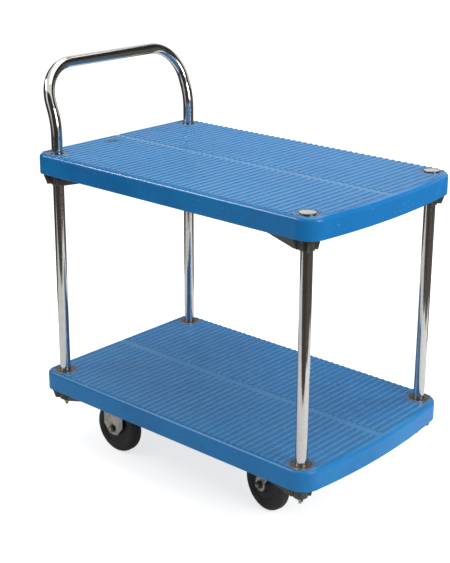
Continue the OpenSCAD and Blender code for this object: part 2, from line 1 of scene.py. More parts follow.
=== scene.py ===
import bpy
import json
import math
from mathutils import Matrix, Vector


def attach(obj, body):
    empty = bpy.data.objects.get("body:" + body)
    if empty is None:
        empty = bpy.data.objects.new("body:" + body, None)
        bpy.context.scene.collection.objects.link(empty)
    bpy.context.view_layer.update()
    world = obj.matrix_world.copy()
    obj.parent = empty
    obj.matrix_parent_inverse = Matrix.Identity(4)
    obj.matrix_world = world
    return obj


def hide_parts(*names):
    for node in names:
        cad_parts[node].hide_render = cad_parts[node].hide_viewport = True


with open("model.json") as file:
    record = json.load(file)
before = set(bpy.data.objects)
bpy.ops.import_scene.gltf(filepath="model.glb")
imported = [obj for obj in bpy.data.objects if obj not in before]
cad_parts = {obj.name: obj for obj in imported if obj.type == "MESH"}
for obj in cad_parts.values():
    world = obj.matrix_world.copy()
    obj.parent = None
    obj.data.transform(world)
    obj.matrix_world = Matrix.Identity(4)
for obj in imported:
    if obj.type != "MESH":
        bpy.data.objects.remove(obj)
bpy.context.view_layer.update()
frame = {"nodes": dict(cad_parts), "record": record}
scene = bpy.context.scene
print("stage: frame loaded,", len(frame["nodes"]), "nodes")


# places that the finishes and pieces below take from the frame

def middleOf(name):
    spots = [vertex.co for vertex in frame["nodes"][name].data.vertices]
    return [(min(spot[i] for spot in spots) + max(spot[i] for spot in spots)) / 2 for i in range(3)]


postX, postY = (abs(value) for value in middleOf("post_front_near")[:2])
bodyOf = {node: body for body, nodes in frame["record"]["behaviour"]["bodies"].items() for node in nodes}
hingeOf = {joint["child"]: joint for joint in frame["record"]["behaviour"]["joints"]}
brackets = [n for n in frame["nodes"] if n.startswith("bracket_") and n != "bracket_screws"]


# small helpers for building materials

def plugIn(tree, value, socket):
    if hasattr(value, "is_output") and value.is_output:
        tree.links.new(value, socket)
    else:
        socket.default_value = value


def newMaterial(name):
    material = bpy.data.materials.new(name)
    material.use_nodes = True
    tree = material.node_tree
    tree.nodes.clear()
    output = tree.nodes.new("ShaderNodeOutputMaterial")
    shader = tree.nodes.new("ShaderNodeBsdfPrincipled")
    tree.links.new(shader.outputs["BSDF"], output.inputs["Surface"])
    return material, tree, shader


def addNode(tree, kind, inputs, **settings):
    node = tree.nodes.new(kind)
    for key, value in settings.items():
        setattr(node, key, value)
    for key, value in inputs.items():
        plugIn(tree, value, node.inputs[key])
    return node


def doMath(tree, operation, a, b=0.0):
    return addNode(tree, "ShaderNodeMath", {0: a, 1: b}, operation=operation).outputs[0]


def times(tree, a, b):
    return doMath(tree, "MULTIPLY", a, b)


def plus(tree, a, b):
    return doMath(tree, "ADD", a, b)


def minus(tree, a, b):
    return doMath(tree, "SUBTRACT", a, b)


def raised(tree, value, mask, amount):
    return plus(tree, value, times(tree, mask, amount))


def splitXyz(tree, vector):
    return list(addNode(tree, "ShaderNodeSeparateXYZ", {0: vector}).outputs)


def joinXyz(tree, x=0.0, y=0.0, z=0.0):
    return addNode(tree, "ShaderNodeCombineXYZ", {0: x, 1: y, 2: z}).outputs["Vector"]


def lengthOf(tree, vector):
    return addNode(tree, "ShaderNodeVectorMath", {0: vector}, operation="LENGTH").outputs["Value"]


def stretched(tree, vector, scale):
    return addNode(tree, "ShaderNodeMapping", {"Vector": vector, "Scale": scale}).outputs["Vector"]


def shifted(tree, vector, move):
    return addNode(tree, "ShaderNodeMapping", {"Vector": vector, "Location": move}).outputs["Vector"]


def mapRange(tree, value, low, high, toLow=0.0, toHigh=1.0):
    return addNode(tree, "ShaderNodeMapRange", {
        "Value": value, "From Min": low, "From Max": high, "To Min": toLow, "To Max": toHigh},
        interpolation_type="SMOOTHSTEP").outputs["Result"]


def noise(tree, vector, scale, detail, roughness):
    return addNode(tree, "ShaderNodeTexNoise", {
        "Vector": vector, "Scale": scale, "Detail": detail, "Roughness": roughness}).outputs["Fac"]


def mixColour(tree, factor, first, second):
    return addNode(tree, "ShaderNodeMix", {0: factor, 6: first, 7: second}, data_type="RGBA").outputs[2]


def layer(tree, colour, mask, amount, over):
    return mixColour(tree, times(tree, mask, amount), colour, over)


def objectSpace(tree):
    return tree.nodes.new("ShaderNodeTexCoord").outputs["Object"]


def addBump(tree, shader, height, strength, distance):
    bump = addNode(tree, "ShaderNodeBump", {"Height": height, "Strength": strength, "Distance": distance})
    tree.links.new(bump.outputs["Normal"], shader.inputs["Normal"])


# effects that several finishes share
# in all the settings a noise is its scale, detail and roughness
# a span is where a mask starts and ends, with its values there if they aren't 0 and 1

def newGroup(name, inputs, outputs):
    group = bpy.data.node_groups.new(name, "ShaderNodeTree")
    group.interface.new_socket(name="Vector", in_out="INPUT", socket_type="NodeSocketVector")
    for label, value in inputs.items():
        socket = group.interface.new_socket(name=label, in_out="INPUT", socket_type="NodeSocketFloat")
        socket.default_value = value
    for label in outputs:
        group.interface.new_socket(name=label, in_out="OUTPUT", socket_type="NodeSocketFloat")
    return group, group.nodes.new("NodeGroupInput"), group.nodes.new("NodeGroupOutput")


def useGroup(tree, group, vector, settings):
    return addNode(tree, "ShaderNodeGroup", {"Vector": vector, **settings}, node_tree=group)


edgeWearSettings = {
    "samples": 4,
    "turnSpan": (0.995, 0.93),  # cosine between the bevelled and the plain normal
    "patchDetail": 4.0,
    "patchRoughness": 0.65,
    "patchSpan": (0.42, 0.62),
}


def makeEdgeWear():
    s = edgeWearSettings
    group, start, end = newGroup("edgeWear", {"Width": 0.002, "Breakup": 60.0}, ["Mask"])
    bevel = addNode(group, "ShaderNodeBevel", {"Radius": start.outputs["Width"]}, samples=s["samples"])
    plain = group.nodes.new("ShaderNodeNewGeometry")
    turn = addNode(group, "ShaderNodeVectorMath", {
        0: bevel.outputs["Normal"], 1: plain.outputs["Normal"]}, operation="DOT_PRODUCT").outputs["Value"]
    place, scale = start.outputs["Vector"], start.outputs["Breakup"]
    patchy = noise(group, place, scale, s["patchDetail"], s["patchRoughness"])
    edge = times(group, mapRange(group, turn, *s["turnSpan"]), mapRange(group, patchy, *s["patchSpan"]))
    group.links.new(edge, end.inputs["Mask"])
    return group


scratchSettings = {
    "turns": (0.35, -0.8, 1.4),
    "lean": 0.3,
    "roll": 0.2,
    "noise": (1.0, 1.5, 0.4),
    "span": (0.70, 0.76),
}


def makeScratches():
    s = scratchSettings
    group, start, end = newGroup("scratches", {"Length": 6.0, "Fineness": 260.0, "Amount": 0.5}, ["Mask"])
    total = 0.0
    for turn in s["turns"]:
        vector = addNode(group, "ShaderNodeMapping", {
            "Vector": start.outputs["Vector"], "Rotation": (s["lean"] * turn, s["roll"], turn)})
        x, y, z = splitXyz(group, vector.outputs["Vector"])
        line = noise(group, joinXyz(group,
            times(group, x, start.outputs["Length"]),
            times(group, y, start.outputs["Fineness"]),
            times(group, z, start.outputs["Fineness"])), *s["noise"])
        total = doMath(group, "MAXIMUM", total, mapRange(group, line, *s["span"]))
    group.links.new(times(group, total, start.outputs["Amount"]), end.inputs["Mask"])
    return group


grimeSettings = {
    "broadDetail": 6.0,
    "fineDetail": 4.0,
    "roughness": 0.7,
    "fineTimes": 9.0,
    "broadShare": 0.65,
    "fineShare": 0.35,
}


def makeGrime():
    s = grimeSettings
    group, start, end = newGroup("grime", {"Scale": 12.0, "Low": 0.5, "High": 0.75}, ["Mask", "Fine"])
    place, scale = start.outputs["Vector"], start.outputs["Scale"]
    broad = noise(group, place, scale, s["broadDetail"], s["roughness"])
    fine = noise(group, place, times(group, scale, s["fineTimes"]), s["fineDetail"], s["roughness"])
    both = plus(group, times(group, broad, s["broadShare"]), times(group, fine, s["fineShare"]))
    mask = mapRange(group, both, start.outputs["Low"], start.outputs["High"])
    group.links.new(mask, end.inputs["Mask"])
    group.links.new(fine, end.inputs["Fine"])
    return group


edgeWear = makeEdgeWear()
scratches = makeScratches()
grime = makeGrime()


# blue moulded decks
deckFinish = {
    "blue": (0.006, 0.175, 0.440, 1),
    "deepBlue": (0.005, 0.140, 0.380, 1),
    # the worn colour also paints sheen on the rib tops, and the dirt colour also paints shade in the rib
    # valleys
    "wornAndSheen": (0.085, 0.250, 0.425, 1),
    "dirtAndShade": (0.035, 0.060, 0.085, 1),
    "rustStain": (0.16, 0.10, 0.06, 1),
    "dark": (0.010, 0.012, 0.018, 1),
    "upSpan": (0.75, 0.97),  # upward part of the normal, from a side to a top
    "levelSpan": (0.6, 0.4),  # heights between the upper and the lower deck
    "drift": (4.5, 4.0, 0.6),
    "driftSpan": (0.35, 0.65),
    "ribPitch": 0.0163,  # the ribs of the decks' nodes, in metres
    "ribStart": -0.38115,
    "ribShift": 100.5,  # half a pitch, after whole pitches that keep the phase above zero
    "ribSpan": (0.26, 0.17),
    "stripSpan": (0.008, 0.010),
    "rubbing": (1.0, 4.0, 0.6),
    "rubbingStretch": (9, 30, 1),
    "rubbingSpan": (0.25, 0.6, 0.45, 1.0),
    # how much the rib tops take the pale colour, for wear and painted sheen, and the valleys the dark
    # one, for dirt and painted shade
    "wearAndSheen": 0.55,
    "soil": {"Scale": 9.0, "Low": 0.36, "High": 0.62},
    "soilingAndShade": 0.34,
    "smear": {"Scale": 5.0, "Low": 0.55, "High": 0.72},
    "smearStretch": (1, 3, 1),
    "smearing": 0.22,
    "scratch": {"Length": 7.0, "Fineness": 240.0, "Amount": 0.6},
    "scratching": 0.6,
    "edge": {"Width": 0.003, "Breakup": 45.0},
    "edgeWearing": 0.5,
    "stainRagged": (0.3, 0.7, -0.012, 0.012),
    "stainSpan": (0.038, 0.022),
    "staining": 0.45,
    "upperStaining": 0.25,
    "spots": [
        # scuff near the rear end of the upper deck
        {"centre": (-0.346, -0.053), "reach": (0.013, 0.020), "level": 0.70, "darkness": 1.0},
        # small chip in the lower deck
        {"centre": (0.177, 0.147), "reach": (0.003, 0.003), "level": 0.18, "darkness": 0.9},
    ],
    "spotRagged": (0.3, 0.7, -0.4, 0.4),
    "spotSpan": (1.15, 0.75),
    "spotLevelSpan": (0.06, 0.05),
    "speck": (210.0, 2.0, 0.5),
    "speckSpan": (0.70, 0.76),
    "speckDriftSpan": (0.45, 0.65),
    "specking": 0.55,
    "roughness": 0.17,
    "soilRoughness": 0.12,
    "topRoughness": 0.17,
    "lowEdgeRoughness": 0.14,
    "sideShine": 0.30,
    "topShine": 0.42,
    "grain": (900.0, 2.0, 0.6),
    "grainHeight": 0.5,
    "bump": 0.25,
    "bumpHeight": 0.0003,
}


def makeDeckPlastic():
    s = deckFinish
    material, tree, shader = newMaterial("deckPlastic")
    place = objectSpace(tree)
    x, y, z = splitXyz(tree, place)
    normal = tree.nodes.new("ShaderNodeNewGeometry").outputs["Normal"]
    onTop = mapRange(tree, splitXyz(tree, normal)[2], *s["upSpan"])

    # colour drifts slowly over the moulding
    drift = noise(tree, place, *s["drift"])
    colour = mixColour(tree, mapRange(tree, drift, *s["driftSpan"]), s["deepBlue"], s["blue"])

    # grip ribs: pale tops, worn and with a painted sheen, and dull dirt with painted shade in the valleys
    phase = doMath(tree, "DIVIDE", minus(tree, x, s["ribStart"]), s["ribPitch"])
    phase = doMath(tree, "FRACT", plus(tree, phase, s["ribShift"]))
    away = doMath(tree, "ABSOLUTE", minus(tree, phase, 0.5))
    offStrip = mapRange(tree, doMath(tree, "ABSOLUTE", y), *s["stripSpan"])
    ribTop = doMath(tree, "MAXIMUM", mapRange(tree, away, *s["ribSpan"]), minus(tree, 1.0, offStrip))
    rubbed = noise(tree, stretched(tree, place, s["rubbingStretch"]), *s["rubbing"])
    rubbed = mapRange(tree, rubbed, *s["rubbingSpan"])
    # the pale rib tops are part wear and part painted sheen
    wornAndSheen = times(tree, times(tree, ribTop, onTop), rubbed)
    colour = layer(tree, colour, wornAndSheen, s["wearAndSheen"], s["wornAndSheen"])
    soil = useGroup(tree, grime, place, s["soil"])
    # the dark valleys are part dirt and part painted shade
    valley = times(tree, minus(tree, 1.0, ribTop), onTop)
    colour = layer(tree, colour, times(tree, valley, soil.outputs["Mask"]), s["soilingAndShade"], s["dirtAndShade"])

    # smears, scratches and worn edges
    smear = useGroup(tree, grime, stretched(tree, place, s["smearStretch"]), s["smear"])
    colour = layer(tree, colour, smear.outputs["Mask"], s["smearing"], s["dirtAndShade"])
    marks = useGroup(tree, scratches, place, s["scratch"]).outputs["Mask"]
    colour = layer(tree, colour, marks, s["scratching"], s["wornAndSheen"])
    edges = useGroup(tree, edgeWear, place, s["edge"]).outputs["Mask"]
    colour = layer(tree, colour, edges, s["edgeWearing"], s["wornAndSheen"])

    # brown stains creep out from the post rings, most of all on the lower deck
    fromPost = lengthOf(tree, joinXyz(tree,
        minus(tree, doMath(tree, "ABSOLUTE", x), postX),
        minus(tree, doMath(tree, "ABSOLUTE", y), postY)))
    creep = plus(tree, fromPost, mapRange(tree, soil.outputs["Fine"], *s["stainRagged"]))
    stain = times(tree, mapRange(tree, creep, *s["stainSpan"]), onTop)
    stain = times(tree, stain, mapRange(tree, z, *s["levelSpan"], s["upperStaining"], 1.0))
    colour = layer(tree, colour, stain, s["staining"], s["rustStain"])

    # single dark spots, and small specks all over
    for spot in s["spots"]:
        across = doMath(tree, "DIVIDE", minus(tree, x, spot["centre"][0]), spot["reach"][0])
        along = doMath(tree, "DIVIDE", minus(tree, y, spot["centre"][1]), spot["reach"][1])
        far = lengthOf(tree, joinXyz(tree, across, along))
        far = plus(tree, far, mapRange(tree, soil.outputs["Fine"], *s["spotRagged"]))
        offLevel = doMath(tree, "ABSOLUTE", minus(tree, z, spot["level"]))
        mask = times(tree, mapRange(tree, far, *s["spotSpan"]), onTop)
        mask = times(tree, mask, mapRange(tree, offLevel, *s["spotLevelSpan"]))
        colour = layer(tree, colour, mask, spot["darkness"], s["dark"])
    speck = mapRange(tree, noise(tree, place, *s["speck"]), *s["speckSpan"])
    speck = times(tree, speck, mapRange(tree, drift, *s["speckDriftSpan"]))
    colour = layer(tree, colour, speck, s["specking"], s["rustStain"])
    tree.links.new(colour, shader.inputs["Base Color"])

    # the lower deck's edge is worn duller than the upper one's
    lowEdge = times(tree, mapRange(tree, z, *s["levelSpan"]), minus(tree, 1.0, onTop))
    rough = raised(tree, s["roughness"], soil.outputs["Fine"], s["soilRoughness"])
    rough = raised(tree, rough, onTop, s["topRoughness"])
    rough = raised(tree, rough, lowEdge, s["lowEdgeRoughness"])
    tree.links.new(rough, shader.inputs["Roughness"])
    shine = raised(tree, s["sideShine"], onTop, s["topShine"] - s["sideShine"])
    tree.links.new(shine, shader.inputs["Specular IOR Level"])
    grain = noise(tree, place, *s["grain"])
    height = minus(tree, times(tree, grain, s["grainHeight"]), marks)
    addBump(tree, shader, height, s["bump"], s["bumpHeight"])
    return material


# chromed tubes and caps
chromeFinish = {
    "tint": (0.62, 0.61, 0.59, 1),
    "haze": (0.45, 0.42, 0.38, 1),
    "rust": (0.14, 0.075, 0.04, 1),
    "cloud": {"Scale": 16.0, "Low": 0.42, "High": 0.7},
    "hazing": 0.5,
    "pits": (420.0, 2.0, 0.55),
    "pitSpan": (0.66, 0.72),
    "patches": (13.0, 3.0, 0.6),
    "patchSpan": (0.62, 0.72),
    "patchSpread": 0.12,  # how much earlier the patches start on a rustier piece
    "rusting": 0.85,
    "rustDulling": 0.8,
    "scratch": {"Length": 14.0, "Fineness": 420.0, "Amount": 0.5},
    "roughness": 0.07,
    "hazeRoughness": 0.10,
    "scratchRoughness": 0.12,
    "rustRoughness": 0.4,
    "patchHeight": 0.3,
    "bump": 0.12,
    "bumpHeight": 0.0003,
}


def makeChrome(name, dulling, rustiness):
    s = chromeFinish
    material, tree, shader = newMaterial(name)
    place = objectSpace(tree)
    haze = useGroup(tree, grime, place, s["cloud"]).outputs["Mask"]
    patches = noise(tree, place, *s["patches"])
    patchFrom = s["patchSpan"][0] - s["patchSpread"] * rustiness
    rust = times(tree, mapRange(tree, noise(tree, place, *s["pits"]), *s["pitSpan"]),
        mapRange(tree, patches, patchFrom, s["patchSpan"][1]))
    rubs = useGroup(tree, scratches, place, s["scratch"]).outputs["Mask"]
    colour = layer(tree, s["tint"], haze, s["hazing"], s["haze"])
    colour = layer(tree, colour, rust, s["rusting"], s["rust"])
    tree.links.new(colour, shader.inputs["Base Color"])
    metal = minus(tree, 1.0, times(tree, rust, s["rustDulling"]))
    tree.links.new(metal, shader.inputs["Metallic"])
    rough = raised(tree, s["roughness"] + dulling, haze, s["hazeRoughness"])
    rough = raised(tree, rough, rubs, s["scratchRoughness"])
    rough = raised(tree, rough, rust, s["rustRoughness"])
    tree.links.new(rough, shader.inputs["Roughness"])
    height = minus(tree, times(tree, patches, s["patchHeight"]), plus(tree, rust, rubs))
    addBump(tree, shader, height, s["bump"], s["bumpHeight"])
    return material


# bare and plated steel of rings, castors and fasteners
steelFinish = {
    "cloud": {"Scale": 28.0, "Low": 0.38, "High": 0.66},
    "spotShift": (3.1, 1.7, 0.4),
    "spotScale": 60.0,
    "spotSpan": (0.62, 0.74),
    "spotSpread": (0.2, 0.1),  # how much lower the span lies on a piece that is stained all over
    "spotting": 0.8,
    "spotDulling": 0.6,
    "edge": {"Width": 0.0008, "Breakup": 120.0},
    "edgeWearing": 0.5,
    "cloudRoughness": 0.18,
    "spotRoughness": 0.25,
    "bumpHeight": 0.0004,
}

steels = {
    "ringRusty": {
        "base": (0.20, 0.16, 0.12, 1), "dull": (0.10, 0.065, 0.045, 1), "stain": (0.075, 0.035, 0.018, 1),
        "metallic": 0.75, "roughness": 0.34, "staining": 0.8, "bump": 0.35},
    # the upper rings are dark grey partly for dirt and partly as painted shade round the caps
    "ringDullAndShaded": {
        "base": (0.16, 0.17, 0.18, 1), "dull": (0.07, 0.08, 0.09, 1), "stain": (0.06, 0.045, 0.035, 1),
        "metallic": 0.8, "roughness": 0.25, "staining": 0.5, "bump": 0.25},
    "castorZinc": {
        "base": (0.50, 0.48, 0.43, 1), "dull": (0.33, 0.31, 0.27, 1), "stain": (0.13, 0.09, 0.055, 1),
        "metallic": 0.85, "roughness": 0.33, "staining": 0.35, "bump": 0.2},
    "boltSteel": {
        "base": (0.42, 0.40, 0.36, 1), "dull": (0.22, 0.20, 0.17, 1), "stain": (0.10, 0.06, 0.035, 1),
        "metallic": 0.9, "roughness": 0.30, "staining": 0.45, "bump": 0.25},
    "nutDark": {
        "base": (0.16, 0.15, 0.13, 1), "dull": (0.07, 0.062, 0.052, 1), "stain": (0.06, 0.035, 0.02, 1),
        "metallic": 0.85, "roughness": 0.34, "staining": 0.5, "bump": 0.3},
    "zincPlate": {
        "base": (0.62, 0.60, 0.55, 1), "dull": (0.42, 0.40, 0.35, 1), "stain": (0.16, 0.11, 0.07, 1),
        "metallic": 0.9, "roughness": 0.26, "staining": 0.25, "bump": 0.2},
}


def makeSteel(name):
    s = {**steelFinish, **steels[name]}
    material, tree, shader = newMaterial(name)
    place = objectSpace(tree)
    cloud = useGroup(tree, grime, place, s["cloud"])
    low, high = (edge - spread * s["staining"] for edge, spread in zip(s["spotSpan"], s["spotSpread"]))
    spots = useGroup(tree, grime, shifted(tree, place, s["spotShift"]), {
        "Scale": s["spotScale"], "Low": low, "High": high}).outputs["Mask"]
    edges = useGroup(tree, edgeWear, place, s["edge"]).outputs["Mask"]
    colour = mixColour(tree, cloud.outputs["Mask"], s["base"], s["dull"])
    colour = layer(tree, colour, spots, s["spotting"], s["stain"])
    colour = layer(tree, colour, edges, s["edgeWearing"], s["base"])
    tree.links.new(colour, shader.inputs["Base Color"])
    metal = minus(tree, s["metallic"], times(tree, spots, s["spotDulling"] * s["metallic"]))
    tree.links.new(metal, shader.inputs["Metallic"])
    rough = raised(tree, s["roughness"], cloud.outputs["Fine"], s["cloudRoughness"])
    rough = raised(tree, rough, spots, s["spotRoughness"])
    tree.links.new(rough, shader.inputs["Roughness"])
    addBump(tree, shader, plus(tree, cloud.outputs["Fine"], spots), s["bump"], s["bumpHeight"])
    return material


# dark moulded corner brackets
bracketFinish = {
    "base": (0.026, 0.029, 0.020, 1),
    "pale": (0.075, 0.080, 0.052, 1),
    "dust": (0.17, 0.165, 0.125, 1),
    "cloud": {"Scale": 22.0, "Low": 0.4, "High": 0.68},
    "clouding": 0.6,
    "edge": {"Width": 0.0015, "Breakup": 70.0},
    "edgeDusting": 0.55,
    "roughness": 0.20,
    "cloudRoughness": 0.2,
    "bump": 0.15,
    "bumpHeight": 0.0004,
}


def makeBracketPlastic():
    s = bracketFinish
    material, tree, shader = newMaterial("bracketPlastic")
    place = objectSpace(tree)
    cloud = useGroup(tree, grime, place, s["cloud"])
    edges = useGroup(tree, edgeWear, place, s["edge"]).outputs["Mask"]
    colour = layer(tree, s["base"], cloud.outputs["Mask"], s["clouding"], s["pale"])
    colour = layer(tree, colour, edges, s["edgeDusting"], s["dust"])
    tree.links.new(colour, shader.inputs["Base Color"])
    rough = raised(tree, s["roughness"], cloud.outputs["Fine"], s["cloudRoughness"])
    tree.links.new(rough, shader.inputs["Roughness"])
    addBump(tree, shader, cloud.outputs["Fine"], s["bump"], s["bumpHeight"])
    return material


# black rubber tyres and moulded cores
rubberFinish = {
    "black": (0.0045, 0.0045, 0.0052, 1),
    "grey": (0.014, 0.0135, 0.013, 1),
    "dust": (0.060, 0.054, 0.046, 1),
    "cloud": {"Scale": 24.0, "Low": 0.4, "High": 0.7},
    "clouding": 0.7,
    "treadSpan": (0.0595, 0.0622),  # distances from the axle
    "dustSpan": (0.4, 0.65),
    "tyreDusting": 0.5,
    "roughness": 0.40,
    "cloudRoughness": 0.25,
    "ringTurn": 5200.0,  # radians of the turning marks for each metre from the axle
    "ringHeight": 0.15,
    "bump": 0.2,
    "bumpHeight": 0.0004,
}


def makeRubber(name, axle, axleYaw, dusting):
    s = rubberFinish
    material, tree, shader = newMaterial(name)
    place = objectSpace(tree)
    cloud = useGroup(tree, grime, place, s["cloud"])
    # distance from the axle, for the dusty tread and the rings on the side wall
    local = shifted(tree, place, [-value for value in axle])
    local = addNode(tree, "ShaderNodeVectorRotate", {
        "Vector": local, "Angle": -axleYaw}, rotation_type="Z_AXIS")
    x, _, z = splitXyz(tree, local.outputs["Vector"])
    reach = lengthOf(tree, joinXyz(tree, x=x, z=z))
    tread = times(tree, mapRange(tree, reach, *s["treadSpan"]),
        mapRange(tree, cloud.outputs["Fine"], *s["dustSpan"]))
    colour = layer(tree, s["black"], cloud.outputs["Mask"], s["clouding"], s["grey"])
    colour = layer(tree, colour, tread, dusting, s["dust"])
    tree.links.new(colour, shader.inputs["Base Color"])
    rough = raised(tree, s["roughness"], cloud.outputs["Fine"], s["cloudRoughness"])
    tree.links.new(rough, shader.inputs["Roughness"])
    rings = doMath(tree, "SINE", times(tree, reach, s["ringTurn"]))
    height = raised(tree, cloud.outputs["Fine"], rings, s["ringHeight"])
    addBump(tree, shader, height, s["bump"], s["bumpHeight"])
    return material


def dress(names, material):
    for name in names:
        for place in frame["nodes"][name].material_slots:
            place.material = material


def bothSides(*starts):
    return [start + "_" + side for start in starts for side in ("near", "far")]


dress(["upper_deck", "lower_deck"], makeDeckPlastic())
dress(["handle_tube"] + bothSides("post_front"), makeChrome("tubeChrome", dulling=0.0, rustiness=1.0))
dress(bothSides("cap_front"), makeChrome("capChrome", dulling=0.10, rustiness=0.6))
dress(["rings_lower"], makeSteel("ringRusty"))
# the upper rings' dark steel is partly painted shade round the caps
dress(["rings_upper"], makeSteel("ringDullAndShaded"))
dress(brackets, makeBracketPlastic())
dress(bothSides("rear_fork", "swivel_plate", "front_fork"), makeSteel("castorZinc"))
dress(["bracket_screws", "clamp_screws", "tube_plugs", "kingpins", "swivel_balls", "rear_axles"]
    + bothSides("front_axle", "bush_rear", "bush_front"), makeSteel("boltSteel"))
dress(["rear_axle_nuts"] + bothSides("front_axle_nuts"), makeSteel("nutDark"))
zincPlate = makeSteel("zincPlate")
dress(["foot_studs", "foot_washers", "foot_nuts", "castor_screws"], zincPlate)
for end, side in (("rear", "near"), ("front", "near"), ("rear", "far"), ("front", "far")):
    wheel = end + "_" + side
    tag = end + side.capitalize()
    hinge = hingeOf["wheel_" + wheel]
    axle = hinge["pos_m"]
    axleYaw = math.atan2(-hinge["axis"][0], hinge["axis"][1])
    dress(["tyre_" + wheel], makeRubber("tyreRubber" + tag, axle, axleYaw, rubberFinish["tyreDusting"]))
    dress(["core_" + wheel], makeRubber("corePlastic" + tag, axle, axleYaw, 0.0))
print("stage: finishes on the frame's nodes")


def deselectAll():
    for obj in bpy.context.selected_objects:
        obj.select_set(False)


def makeActive(obj):
    deselectAll()
    obj.select_set(True)
    bpy.context.view_layer.objects.active = obj


# moulded and pressed parts get softly rounded edges, on merged copies of their nodes
softEdges = {
    "width": {"bracket": 0.0007, "fork": 0.0004, "nut": 0.0003},
    "rounds": {"bracket": 2, "fork": 2, "nut": 1},
    "weld": 0.000002,
    "flatAngle": 0.4,
    "bevelAngle": 34,
    "smoothAngle": 38,
}


def softenNode(name, kind):
    s = softEdges
    source = frame["nodes"][name]
    piece = bpy.data.objects.new(name + "_rounded", source.data.copy())
    scene.collection.objects.link(piece)
    makeActive(piece)
    bpy.ops.object.mode_set(mode="EDIT")
    bpy.ops.mesh.select_all(action="SELECT")
    bpy.ops.mesh.remove_doubles(threshold=s["weld"])
    bpy.ops.mesh.customdata_custom_splitnormals_clear()
    bpy.ops.mesh.dissolve_limited(angle_limit=math.radians(s["flatAngle"]))
    bpy.ops.object.mode_set(mode="OBJECT")
    bevel = piece.modifiers.new("softEdge", "BEVEL")
    bevel.width = s["width"][kind]
    bevel.segments = s["rounds"][kind]
    bevel.limit_method = "ANGLE"
    bevel.angle_limit = math.radians(s["bevelAngle"])
    bevel.miter_outer = "MITER_ARC"
    bpy.ops.object.modifier_apply(modifier="softEdge")
    bpy.ops.object.shade_smooth_by_angle(angle=math.radians(s["smoothAngle"]))
    piece.data.materials.clear()
    piece.data.materials.append(source.material_slots[0].material)
    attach(piece, bodyOf[name])
    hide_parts(name)


for nodeName in brackets:
    softenNode(nodeName, "bracket")
for nodeName in bothSides("rear_fork", "front_fork"):
    softenNode(nodeName, "fork")
for nodeName in ["foot_nuts", "rear_axle_nuts"] + bothSides("front_axle_nuts"):
    softenNode(nodeName, "nut")
print("stage: rounded brackets, forks and nuts")


# rolled thread on the four foot studs
threads = {
    "pitch": 0.00125,
    "crest": 0.0040,
    "root": 0.0034,
    "flank": 1.3,  # above 1 the crests are flat
    "tip": 0.0028,
    "tipSlope": 2 / 3,
    "around": 20,
    "perPitch": 6,
    "weld": 0.000001,
    "smoothAngle": 30,
}


def threadedStud(place, low, high):
    s = threads
    steps = round((high - low) / s["pitch"] * s["perPitch"])
    deselectAll()
    bpy.ops.mesh.primitive_circle_add(vertices=s["around"], radius=s["crest"], location=(0, 0, 0))
    stud = bpy.context.active_object
    rise = stud.modifiers.new("rise", "SCREW")
    rise.angle = 0
    rise.screw_offset = high - low
    rise.steps = steps
    rise.render_steps = steps
    bpy.ops.object.modifier_apply(modifier="rise")
    bpy.ops.object.mode_set(mode="EDIT")
    bpy.ops.mesh.select_all(action="SELECT")
    bpy.ops.mesh.remove_doubles(threshold=s["weld"])
    bpy.ops.mesh.select_all(action="DESELECT")
    bpy.ops.mesh.select_non_manifold()
    bpy.ops.mesh.fill_holes(sides=0)
    bpy.ops.mesh.select_all(action="SELECT")
    bpy.ops.mesh.normals_make_consistent(inside=False)
    bpy.ops.object.mode_set(mode="OBJECT")
    for vertex in stud.data.vertices:
        x, y, z = vertex.co
        turn = math.atan2(y, x) / (2 * math.pi)
        groove = abs(2 * ((z / s["pitch"] - turn) % 1) - 1)
        reach = s["root"] + (s["crest"] - s["root"]) * min(1, s["flank"] * groove)
        reach = min(reach, s["tip"] + z * s["tipSlope"])
        vertex.co = (place[0] + x * reach / s["crest"], place[1] + y * reach / s["crest"], low + z)
    return stud


studHeights = [vertex.co.z for vertex in frame["nodes"]["foot_studs"].data.vertices]
studPlaces = [(i * postX, j * postY) for i in (-1, 1) for j in (-1, 1)]
singleStuds = [threadedStud(place, min(studHeights), max(studHeights)) for place in studPlaces]
deselectAll()
for stud in singleStuds:
    stud.select_set(True)
bpy.context.view_layer.objects.active = singleStuds[0]
bpy.ops.object.join()
studs = bpy.context.active_object
studs.name = "foot_studs_threaded"
bpy.ops.object.shade_smooth_by_angle(angle=math.radians(threads["smoothAngle"]))
studs.data.materials.append(zincPlate)
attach(studs, bodyOf["foot_studs"])
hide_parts("foot_studs")
print("stage: threaded studs")


